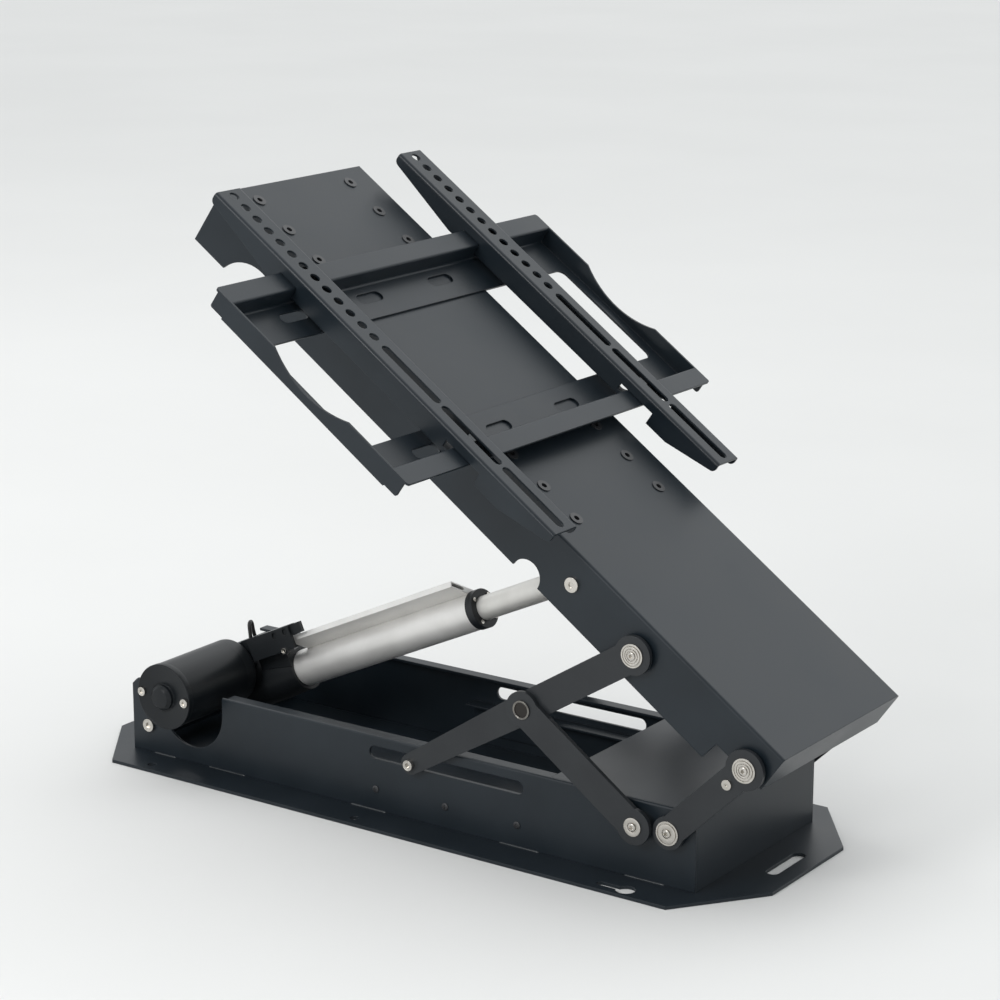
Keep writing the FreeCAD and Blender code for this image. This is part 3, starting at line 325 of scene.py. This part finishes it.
def soften(piece, width, segments=2):
    """Rounds the sharp edges a little and shades the rest smooth."""
    apply_modifier(piece, "BEVEL", width=width, segments=segments, limit_method="ANGLE",
                   angle_limit=SMOOTH_ANGLE, use_clamp_overlap=True)
    only(piece)
    bpy.ops.object.shade_smooth_by_angle(angle=SMOOTH_ANGLE)


def sink_socket(piece, radius, top, depth, sides=6):
    """Cuts a socket into the top with an upright plug of six sides."""
    deselect()
    bpy.ops.mesh.primitive_cylinder_add(vertices=sides, radius=radius, depth=2 * depth,
                                        location=(0.0, 0.0, top))
    plug = bpy.context.object
    apply_modifier(piece, "BOOLEAN", object=plug, operation="DIFFERENCE", solver="EXACT")
    bpy.data.objects.remove(plug, do_unlink=True)


FACING = {-1: (math.pi / 2, 0.0, 0.0), 1: (-math.pi / 2, 0.0, 0.0)}


def set_in_place(piece, side, place):
    """Lays a piece on its side, its top to the near (-1) or far (1) side, and moves it."""
    only(piece)
    piece.rotation_euler = FACING[side]
    piece.location = place
    bpy.ops.object.transform_apply(location=True, rotation=True, scale=True)


def copy_of(piece, name):
    """A copy with its own mesh."""
    twin = piece.copy()
    twin.data = piece.data.copy()
    twin.name = name
    bpy.context.scene.collection.objects.link(twin)
    return twin


def join_as(pieces, name):
    """Joins pieces into the first one."""
    deselect()
    for piece in pieces:
        piece.select_set(True)
    bpy.context.view_layer.objects.active = pieces[0]
    bpy.ops.object.join()
    pieces[0].name = name
    return pieces[0]


def stand_for(piece, node, finish, body):
    """The piece takes over from a plain solid, rides its body and takes its finish."""
    paint(piece, finish)
    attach(piece, body)
    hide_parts(node)
    print(piece.name, len(piece.data.polygons), "faces for", node)


# %% [markdown]
# ## Pivot bolts
# Four pairs of zinc plated bolts hold the links. Each shows a broad thin washer, one or two
# stepped rings with fine dark grooves between them, and a small button head with a six sided
# socket. The strut's bolt has the plain washer alone. One function turns them all from the
# radii of their grooves, and the places come from the plain solids' own boxes.

# %% Turn the pivot bolts
BOLT_WASHER = 0.0012
BOLT_RISE = 0.0026
SHANK_RADIUS = 0.006
BUTTON_RADIUS = 0.0044
HAIR = 0.00004
GROOVE_WIDTH = 0.0007
GROOVE_DEPTH = 0.0009
COLLAR_STEP = 0.0003
BUTTON_WALL = 0.5
BUTTON_CROWN = ((0.0004, 0.3), (0.0008, 0.2))
BOLT_EDGE = 0.00016
BOLT_SOCKET = 0.0019
BOLT_SOCKET_DEPTH = 0.0024


def groove(step):
    """A sunk ring whose inner shoulder ends higher than its outer one."""
    return [(HAIR, -GROOVE_DEPTH), (GROOVE_WIDTH, 0.0), (HAIR, GROOVE_DEPTH + step)]


def pivot_bolt(name, rim, shank, collar):
    """Washer, collar, button head and socket on an upright shank."""
    bolt = upright_bar(name, rim, BOLT_WASHER)
    steps = []
    inside = rim
    for radius in collar:
        steps.append((inside - radius, 0.0))
        steps.extend(groove(COLLAR_STEP))
        inside = radius - GROOVE_WIDTH - 2 * HAIR
    rise = BOLT_RISE - BOLT_WASHER - COLLAR_STEP * len(collar)
    steps.append((inside - BUTTON_RADIUS, 0.0))
    steps.extend(groove(BUTTON_WALL * rise))
    steps.extend((width, share * rise) for width, share in BUTTON_CROWN)
    turn_face(bolt, 1, steps)
    turn_face(bolt, -1, [(rim - SHANK_RADIUS, 0.0), (HAIR, shank)])
    soften(bolt, BOLT_EDGE)
    sink_socket(bolt, BOLT_SOCKET, BOLT_RISE, BOLT_SOCKET_DEPTH)
    only(bolt)
    bpy.ops.object.shade_smooth_by_angle(angle=SMOOTH_ANGLE)
    return bolt


PIVOT_BOLTS = {
    "strut_base_bolts": ("base", 0.0216, ()),
    "crank_base_bolts": ("base", 0.0171, (0.0092,)),
    "boom_link_bolts": ("boom", 0.0171, (0.0088, 0.0064)),
    "crank_head_bolts": ("cranks", 0.0066, (0.0090, 0.0066)),
}

for node, (body, shank, collar) in PIVOT_BOLTS.items():
    low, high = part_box(node)
    middle = (low + high) / 2
    rim = (high.x - low.x) / 2
    near_bolt = pivot_bolt(node + "_turned", rim, shank, collar)
    far_bolt = copy_of(near_bolt, node + "_far")
    set_in_place(near_bolt, -1, (middle.x, low.y + BOLT_RISE, middle.z))
    set_in_place(far_bolt, 1, (middle.x, high.y - BOLT_RISE, middle.z))
    pair = join_as([near_bolt, far_bolt], node + "_turned")
    stand_for(pair, node, "zinc", body)

# %% [markdown]
# ## Small screws and pins
# The motor cap, the switch housing and the long rear pivot are held by small bright screws
# with a sunk socket. The pin that slides in the trough's slot ends in a plain round
# hole. All are a head on a shank, so one function makes them.


# %% Turn the small heads
SCREW_SIDES = 48
HEAD_RIM = 0.12
HEAD_LAND = 0.2
HEAD_STEP = 0.00008
HEAD_EDGE = 0.00035
SOCKET_SHARE = 0.6
STUB = 0.0001


def socket_screw(name, radius, height, shank_radius, shank, socket, sides=6):
    """Rounded head with a socket, on a shank."""
    screw = upright_bar(name, radius, height, SCREW_SIDES)
    turn_face(screw, 1, [(HEAD_RIM * radius, 0.0), (HAIR, -HEAD_STEP), (HEAD_LAND * radius, 0.0)])
    turn_face(screw, -1, [(radius - shank_radius, 0.0), (HAIR, shank)])
    soften(screw, HEAD_EDGE, ROUND_STEPS)
    sink_socket(screw, socket, height, SOCKET_SHARE * height, sides)
    only(screw)
    bpy.ops.object.shade_smooth_by_angle(angle=SMOOTH_ANGLE)
    return screw


CAP_SCREW_HEAD = 0.002
CAP_SCREW_RADIUS = 0.0042
CAP_SCREW_SHANK = 0.002
CAP_SCREW_SOCKET = 0.0021
low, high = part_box("motor_cap_screws")
left_screw = socket_screw("cap_screw_left", CAP_SCREW_RADIUS, CAP_SCREW_HEAD,
                          CAP_SCREW_SHANK, STUB, CAP_SCREW_SOCKET)
right_screw = copy_of(left_screw, "cap_screw_right")
cap_face = low.y + CAP_SCREW_HEAD
set_in_place(left_screw, -1, (low.x + CAP_SCREW_RADIUS, cap_face, high.z - CAP_SCREW_RADIUS))
set_in_place(right_screw, -1, (high.x - CAP_SCREW_RADIUS, cap_face, low.z + CAP_SCREW_RADIUS))
cap_screws = join_as([left_screw, right_screw], "cap_screws_turned")
stand_for(cap_screws, "motor_cap_screws", "zinc", "actuator")

SWITCH_SHANK = 0.0015
SWITCH_SOCKET = 0.0015
low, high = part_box("switch_screw")
middle = (low + high) / 2
switch_head = high.y - low.y
switch_screw = socket_screw("switch_screw_turned", (high.x - low.x) / 2, switch_head,
                            SWITCH_SHANK, STUB, SWITCH_SOCKET)
set_in_place(switch_screw, -1, (middle.x, high.y, middle.z))
stand_for(switch_screw, "switch_screw", "zinc", "actuator")

# %% The two long pins
PIN_HEAD = 0.0042
PIN_RADIUS = 0.004
PIN_SHANK = 0.0127
PIN_BORE = 0.0024
ROUND_SIDES = 24
low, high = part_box("slot_pins")
middle = (low + high) / 2
near_pin = socket_screw("slot_pins_turned", (high.x - low.x) / 2, PIN_HEAD,
                        PIN_RADIUS, PIN_SHANK, PIN_BORE, ROUND_SIDES)
far_pin = copy_of(near_pin, "slot_pin_far")
set_in_place(near_pin, -1, (middle.x, low.y + PIN_HEAD, middle.z))
set_in_place(far_pin, 1, (middle.x, high.y - PIN_HEAD, middle.z))
pins = join_as([near_pin, far_pin], "slot_pins_turned")
stand_for(pins, "slot_pins", "zinc", "lift_links")

REAR_HEAD = 0.003
REAR_PIN_RADIUS = 0.005
REAR_SOCKET = 0.003
low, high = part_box("rear_pivot_pin")
middle = (low + high) / 2
half_pin = (high.y - low.y) / 2 - REAR_HEAD
near_end = socket_screw("rear_pin_turned", (high.x - low.x) / 2, REAR_HEAD,
                        REAR_PIN_RADIUS, half_pin, REAR_SOCKET)
far_end = copy_of(near_end, "rear_pin_far")
set_in_place(near_end, -1, (middle.x, low.y + REAR_HEAD, middle.z))
set_in_place(far_end, 1, (middle.x, high.y - REAR_HEAD, middle.z))
rear_pin = join_as([near_end, far_end], "rear_pin_turned")
stand_for(rear_pin, "rear_pivot_pin", "zinc", "base")

# %% [markdown]
# ## Centre pivot rings
# Where strut and lift link cross, the real pivot is a polished thin ring with a dull dark plug
# pressed in it. The ring is turned like the bolts, with a stepped lip and a sunk floor, and the
# plug is a second piece on that floor, because it is another metal.

# %% Turn the rings and the plugs
RING_FLANGE = 0.0014
RING_BODY_RADIUS = 0.0076
RING_BORE_RADIUS = 0.0066
RING_BODY = 0.0086
RING_LIP = 0.0006
RING_SLOPE = 0.0004
RING_DIP = 0.0003
RING_FLAT = 0.0003
RING_EDGE = 0.0004
PLUG_SINK = 0.0008

low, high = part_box("centre_pivot_rings")
middle = (low + high) / 2
rim = (high.x - low.x) / 2
near_ring = upright_bar("rings_turned", rim, RING_FLANGE)
inner_slope = rim - RING_BORE_RADIUS - RING_LIP - RING_SLOPE - RING_FLAT
turn_face(near_ring, 1, [(RING_LIP, 0.0), (RING_SLOPE, -RING_DIP), (RING_FLAT, 0.0),
                         (inner_slope, RING_DIP), (HAIR, -PLUG_SINK - RING_DIP)])
turn_face(near_ring, -1, [(rim - RING_BODY_RADIUS, 0.0), (HAIR, RING_BODY)])
soften(near_ring, RING_EDGE, ROUND_STEPS)
far_ring = copy_of(near_ring, "ring_far")
set_in_place(near_ring, -1, (middle.x, low.y + RING_FLANGE, middle.z))
set_in_place(far_ring, 1, (middle.x, high.y - RING_FLANGE, middle.z))
rings = join_as([near_ring, far_ring], "rings_turned")
stand_for(rings, "centre_pivot_rings", "chrome", "struts")

PLUG_BASE = 0.0003
PLUG_DOME = ((0.0006, 0.0001), (0.0015, 0.0001), (0.002, 0.00005))
PLUG_EDGE = 0.0001
near_plug = upright_bar("plugs_turned", RING_BORE_RADIUS - HAIR, PLUG_BASE)
turn_face(near_plug, 1, PLUG_DOME)
soften(near_plug, PLUG_EDGE)
far_plug = copy_of(near_plug, "plug_far")
set_in_place(near_plug, -1, (middle.x, low.y + PLUG_SINK + PLUG_BASE, middle.z))
set_in_place(far_plug, 1, (middle.x, high.y - PLUG_SINK - PLUG_BASE, middle.z))
plugs = join_as([near_plug, far_plug], "plugs_turned")
stand_for(plugs, "centre_pivot_plugs", "bronze", "struts")

# %% [markdown]
# ## Motor cap
# The motor's front is a black round cap with a soft rim, and a chamfered boss for the bearing with
# a fine groove around it. It is one turned part, so it is cut from one bar like the screws.

# %% Turn the motor cap
CAP_THICK = 0.006
CAP_SIDES = 96
CAP_RIM = 0.0014
CAP_STEP = 0.0002
CAP_GROOVE = 0.0008
CAP_GROOVE_DEPTH = 0.0003
CAP_LAND = 0.0006
CAP_LAND_RISE = 0.0004
CAP_RINGS = 0.0029
CAP_EDGE = 0.00045
BOSS_RADIUS = 0.012
BOSS_CHAMFER = 0.003
low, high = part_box("motor_end_cap")
middle = (low + high) / 2
cap_radius = (high.x - low.x) / 2
cap = upright_bar("cap_turned", cap_radius, CAP_THICK, CAP_SIDES)
turn_face(cap, 1, [(CAP_RIM, 0.0), (HAIR, -CAP_STEP), (cap_radius - BOSS_RADIUS - CAP_RINGS, 0.0),
                   (HAIR, -CAP_GROOVE_DEPTH), (CAP_GROOVE, 0.0), (HAIR, CAP_LAND_RISE),
                   (CAP_LAND, 0.0), (HAIR, BOSS_CHAMFER), (BOSS_CHAMFER, BOSS_CHAMFER)])
soften(cap, CAP_EDGE, ROUND_STEPS)
set_in_place(cap, -1, (middle.x, high.y, middle.z))
stand_for(cap, "motor_end_cap", "motor", "actuator")

# %% [markdown]
# ## Guide screws
# Six small screws with a cross recess hold the slide guides to the walls of the trough. The
# domed head is turned, and two crossed blades cut the recess as the punch does.

# %% Cut one screw and copy it along the walls
GUIDE_HEAD_RADIUS = 0.0034
GUIDE_HEAD = 0.0012
GUIDE_SHANK_RADIUS = 0.0019
GUIDE_SHANK = 0.006
GUIDE_SIDES = 32
GUIDE_RIM = 0.6
GUIDE_DOME = ((0.0008, 0.25), (0.0012, 0.15))
GUIDE_EDGE = 0.00015
GUIDE_COUNT = 3
CROSS_LENGTH = 0.0036
CROSS_WIDTH = 0.0009

low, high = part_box("guide_screws")
middle = (low + high) / 2
guide_screw = upright_bar("guide_screws_cut", GUIDE_HEAD_RADIUS, GUIDE_RIM * GUIDE_HEAD, GUIDE_SIDES)
turn_face(guide_screw, 1, [(width, share * GUIDE_HEAD) for width, share in GUIDE_DOME])
turn_face(guide_screw, -1, [(GUIDE_HEAD_RADIUS - GUIDE_SHANK_RADIUS, 0.0), (HAIR, GUIDE_SHANK)])
soften(guide_screw, GUIDE_EDGE)
for length, width in ((CROSS_LENGTH, CROSS_WIDTH), (CROSS_WIDTH, CROSS_LENGTH)):
    deselect()
    bpy.ops.mesh.primitive_cube_add(size=1.0, location=(0.0, 0.0, GUIDE_HEAD),
                                    scale=(length, width, GUIDE_HEAD))
    blade = bpy.context.object
    apply_modifier(guide_screw, "BOOLEAN", object=blade, operation="DIFFERENCE", solver="EXACT")
    bpy.data.objects.remove(blade, do_unlink=True)

first_x = low.x + GUIDE_HEAD_RADIUS
pitch = (high.x - GUIDE_HEAD_RADIUS - first_x) / (GUIDE_COUNT - 1)
guide_screws = []
for side, face in ((-1, low.y + GUIDE_HEAD), (1, high.y - GUIDE_HEAD)):
    for index in range(GUIDE_COUNT):
        screw = copy_of(guide_screw, "guide_screw_copy")
        set_in_place(screw, side, (first_x + index * pitch, face, middle.z))
        guide_screws.append(screw)
bpy.data.objects.remove(guide_screw, do_unlink=True)
all_guide_screws = join_as(guide_screws, "guide_screws_cut")
stand_for(all_guide_screws, "guide_screws", "screw", "base")

# %% [markdown]
# ## Weld beads
# The trough is stitched to its base plate with short welds under the coat. They show as thin
# bright lines along the foot, from their gloss and from a coat painted a little paler than the
# sheet's as a highlight. Each bead is drawn as the torch lays it: a small ring of points is
# extruded along the corner in short steps, swelling and thinning by turns.

# %% Lay the beads along both walls
BEAD_RADIUS = 0.0013
BEAD_STEP = 0.0019
BEAD_SWELL = 1.14
BEAD_SIDES = 14
BEAD_TIP = 0.4
BEAD_START = 2.3
BEAD_SMOOTH = math.radians(80.0)
PLATE_TOP = 0.003
BEAD_RUNS = ((0.025, 0.053), (0.092, 0.136), (0.258, 0.299), (0.42, 0.462), (0.548, 0.588))

wall_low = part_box("near_side_plate")[0]
far_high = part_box("far_side_plate")[1]


def weld_bead(name, start, length, place_y):
    """One rippled bead along X, lying in the corner of wall and plate."""
    deselect()
    bpy.ops.mesh.primitive_circle_add(vertices=BEAD_SIDES, radius=BEAD_TIP * BEAD_RADIUS,
                                      fill_type="NGON",
                                      location=(start, place_y, PLATE_TOP),
                                      rotation=(0.0, math.pi / 2, 0.0))
    bead = bpy.context.object
    bead.name = name
    bpy.ops.object.transform_apply(location=True, rotation=True, scale=True)
    pick_faces(bead, lambda centre, normal: True)
    centre = Vector((start, place_y, PLATE_TOP))
    steps = int(length / BEAD_STEP)
    for step in range(steps):
        bpy.ops.mesh.extrude_region_move(
            TRANSFORM_OT_translate={"value": (BEAD_STEP, 0.0, 0.0)})
        centre.x += BEAD_STEP
        grow = BEAD_SWELL if step % 2 == 0 else 1.0 / BEAD_SWELL
        grow = BEAD_START if step == 0 else grow
        grow = BEAD_TIP if step == steps - 1 else grow
        bpy.ops.transform.resize(value=(1.0, grow, grow), center_override=centre)
    bpy.ops.mesh.select_all(action="SELECT")
    bpy.ops.mesh.normals_make_consistent(inside=False)
    bpy.ops.object.mode_set(mode="OBJECT")
    apply_modifier(bead, "SUBSURF", levels=1, render_levels=1)
    bpy.ops.object.shade_smooth_by_angle(angle=BEAD_SMOOTH)
    return bead


beads = []
for start, end in BEAD_RUNS:
    for place_y in (wall_low.y, far_high.y):
        beads.append(weld_bead("bead", wall_low.x + start, end - start, place_y))
bead_rows = join_as(beads, "weld_beads")
# The bead finish's paler tone is a painted highlight along the foot.
paint(bead_rows, "bead")
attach(bead_rows, "base")
print("beads", len(BEAD_RUNS) * 2)

# %% [markdown]
# ## Motor lead
# A short length of black lead leaves the switch housing, bends over and goes back in. A cord is a
# smooth curve with thickness, so it is a spline on the route of the plain solid.

# %% Draw the lead
LEAD_RADIUS = 0.0018
LEAD_RISE = 0.0105
LEAD_BEND = 0.004
LEAD_TURN = math.radians(110.0)
LEAD_LEAN = math.radians(25.0)
LEAD_TUCK = 0.0003
LEAD_BOW = 0.0016
LEAD_ROOT = Vector((0.086, -0.022, 0.044))
SCREW_ANGLE = math.radians(24.7206)
REAR_PIVOT = Vector((-0.2883, 0.0, 0.0296))

on_screw = Matrix.Translation(REAR_PIVOT) @ Matrix.Rotation(-SCREW_ANGLE, 4, "Y")
on_root = Matrix.Translation(LEAD_ROOT) @ Matrix.Rotation(LEAD_LEAN, 4, "Y")
on_root = on_screw @ on_root @ Matrix.Rotation(LEAD_TURN, 4, "Z")
crown = LEAD_RISE + LEAD_BEND
LEAD_ROUTE = [(0.0, 0.0, 0.0), (0.0, 0.0005, 0.5 * LEAD_RISE), (LEAD_TUCK, LEAD_BOW, crown),
              (2 * LEAD_BEND - LEAD_TUCK, LEAD_BOW, crown),
              (2 * LEAD_BEND, LEAD_TUCK, 0.5 * LEAD_RISE), (2 * LEAD_BEND, -0.0012, 0.0)]
route = [on_root @ Vector(point) for point in LEAD_ROUTE]

lead_curve = bpy.data.curves.new("lead", "CURVE")
lead_curve.dimensions = "3D"
spline = lead_curve.splines.new("NURBS")
spline.points.add(len(route) - 1)
for point, place in zip(spline.points, route):
    point.co = (*place, 1.0)
spline.order_u = 3
spline.use_endpoint_u = True
lead_curve.bevel_depth = LEAD_RADIUS
lead_curve.bevel_resolution = 6
lead_curve.resolution_u = 12
lead_curve.use_fill_caps = True
lead = bpy.data.objects.new("lead_drawn", lead_curve)
bpy.context.scene.collection.objects.link(lead)
paint(lead, "lead")
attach(lead, "actuator")
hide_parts("motor_lead")

line_curve = lead_curve.copy()
line_curve.bevel_depth = 0.0
line_object = bpy.data.objects.new("lead_line", line_curve)
bpy.context.scene.collection.objects.link(line_object)
line_mesh = bpy.data.meshes.new_from_object(line_object)
bpy.data.objects.remove(line_object, do_unlink=True)

# %% [markdown]
# ## Floor and light
# The mount stands on a plain pale floor. The black coat shows almost no colour of its own: what
# the eye reads as its shape is the reflection of a pale room. So the world is a dim soft grey
# with one wide bright patch high behind the mount, like a large window, which the sloping
# faces mirror. A soft lamp behind on the left gives the shadows a side, and a small one low
# in front draws the thin bright lines along the bends. All stay at a plain level.

# %% Floor
FLOOR_SIZE = 40.0
FLOOR_TONE = ((0.74, 0.74, 0.73), (0.76, 0.76, 0.75))

deselect()
bpy.ops.mesh.primitive_plane_add(size=FLOOR_SIZE, location=(0.0, 0.0, 0.0))
floor = bpy.context.object
floor.name = "floor"
FINISHES["floor"] = surface("plain pale floor", *FLOOR_TONE, (0.75, 0.85),
                            grain=300.0, grain_depth=0.00001, cloud=1.5, specular=0.2)
paint(floor, "floor")
print("floor", tuple(round(v, 2) for v in floor.dimensions))

# %% World and lamps
SKY_COLOUR = (0.97, 0.99, 1.0)
SKY_DIM = 0.79
SKY_BRIGHT = 1.6
WINDOW_WAY = Vector((0.10, 0.64, 0.76)).normalized()
WINDOW_EDGE = 0.67
WINDOW_CORE = 0.93

world = bpy.data.worlds.new("studio")
bpy.context.scene.world = world
world.use_nodes = True
sky = world.node_tree
sky.nodes.clear()
sky_output = sky.nodes.new("ShaderNodeOutputWorld")
sky_light = sky.nodes.new("ShaderNodeBackground")
sky_light.inputs["Color"].default_value = (*SKY_COLOUR, 1.0)
sky_way = sky.nodes.new("ShaderNodeTexCoord")
window_near = sky.nodes.new("ShaderNodeVectorMath")
window_near.operation = "DOT_PRODUCT"
window_near.inputs[1].default_value = WINDOW_WAY
window_fall = sky.nodes.new("ShaderNodeMapRange")
window_fall.inputs["From Min"].default_value = WINDOW_EDGE
window_fall.inputs["From Max"].default_value = WINDOW_CORE
window_fall.inputs["To Min"].default_value = SKY_DIM
window_fall.inputs["To Max"].default_value = SKY_BRIGHT
sky.links.new(sky_way.outputs["Generated"], window_near.inputs[0])
sky.links.new(window_near.outputs["Value"], window_fall.inputs["Value"])
sky.links.new(window_fall.outputs["Result"], sky_light.inputs["Strength"])
sky.links.new(sky_light.outputs["Background"], sky_output.inputs["Surface"])


LAMP_TARGET = Vector((0.0, 0.0, 0.2))
LAMPS = {
    "key": ((-2.2, 0.4, 2.6), 1.8, 14.0),
    "edge": ((-0.5, -2.5, 1.7), 1.0, 26.0),
}


def soft_lamp(name, place, size, power):
    """A square soft box that looks at the middle of the object."""
    data = bpy.data.lights.new(name, "AREA")
    data.shape = "SQUARE"
    data.size = size
    data.energy = power
    lamp = bpy.data.objects.new(name, data)
    bpy.context.scene.collection.objects.link(lamp)
    lamp.location = place
    aim = LAMP_TARGET - Vector(place)
    lamp.rotation_euler = aim.to_track_quat("-Z", "Y").to_euler()
    print("lamp", lamp.name, power, "W")


for name, (place, size, power) in LAMPS.items():
    soft_lamp(name, place, size, power)
bpy.context.scene.view_settings.view_transform = "Standard"

# %% [markdown]
# The dressed model must not be larger than the solids.

# %% Finish
bpy.context.view_layer.update()
